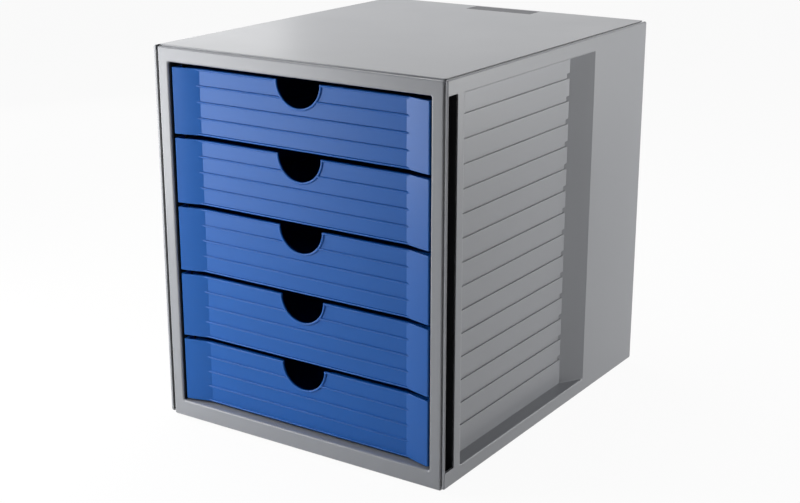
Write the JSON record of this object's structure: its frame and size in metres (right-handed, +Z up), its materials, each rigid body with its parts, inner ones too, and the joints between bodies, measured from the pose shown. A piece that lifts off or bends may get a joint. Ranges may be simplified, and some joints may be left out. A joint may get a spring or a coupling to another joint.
{
  "type": "desktop file drawer",
  "caption": "Closed desktop housing with a stack of wide, shallow file drawers that slide out at the front, each with a half-round finger notch.",
  "frame": {"origin": "on the standing surface, under the middle of the housing", "axes": "+Z up, the drawers face -Y and slide out along -Y, +X to the right of someone facing the drawers"},
  "size_m": [0.275, 0.33, 0.32],
  "materials": {
    "housing_grey": "fine satin moulded plastic, light grey",
    "side_panel_grey": "fine satin moulded plastic, light grey",
    "drawer_blue": "satin moulded plastic, mid blue",
    "tray_blue": "satin moulded plastic, mid blue",
    "runner_black": "matt moulded plastic, black",
    "plate_grey": "satin plastic, dark grey, bare",
    "foot_rubber": "matt rubber"
  },
  "bodies": {
    "housing": {"front_frame": "housing_grey", "top_panel": "housing_grey", "base_panel": "housing_grey", "rear_panel": "housing_grey", "right_side_panel": "side_panel_grey", "left_side_panel": "side_panel_grey", "right_runner_wall": "runner_black", "left_runner_wall": "runner_black", "top_plate": "plate_grey", "foot_front_left": "foot_rubber", "foot_front_right": "foot_rubber", "foot_rear_left": "foot_rubber", "foot_rear_right": "foot_rubber"},
    "drawer_1": {"drawer_front_1": "drawer_blue", "drawer_tray_1": "tray_blue"},
    "drawer_2": {"drawer_front_2": "drawer_blue", "drawer_tray_2": "tray_blue"},
    "drawer_3": {"drawer_front_3": "drawer_blue", "drawer_tray_3": "tray_blue"},
    "drawer_4": {"drawer_front_4": "drawer_blue", "drawer_tray_4": "tray_blue"},
    "drawer_5": {"drawer_front_5": "drawer_blue", "drawer_tray_5": "tray_blue"}
  },
  "joints": [
    {"name": "drawer_1_slide", "type": "slide", "parent": "housing", "child": "drawer_1", "axis": [0, -1, 0], "range_m": [0, 0.25]},
    {"name": "drawer_2_slide", "type": "slide", "parent": "housing", "child": "drawer_2", "axis": [0, -1, 0], "range_m": [0, 0.25]},
    {"name": "drawer_3_slide", "type": "slide", "parent": "housing", "child": "drawer_3", "axis": [0, -1, 0], "range_m": [0, 0.25]},
    {"name": "drawer_4_slide", "type": "slide", "parent": "housing", "child": "drawer_4", "axis": [0, -1, 0], "range_m": [0, 0.25]},
    {"name": "drawer_5_slide", "type": "slide", "parent": "housing", "child": "drawer_5", "axis": [0, -1, 0], "range_m": [0, 0.25]}
  ]
}
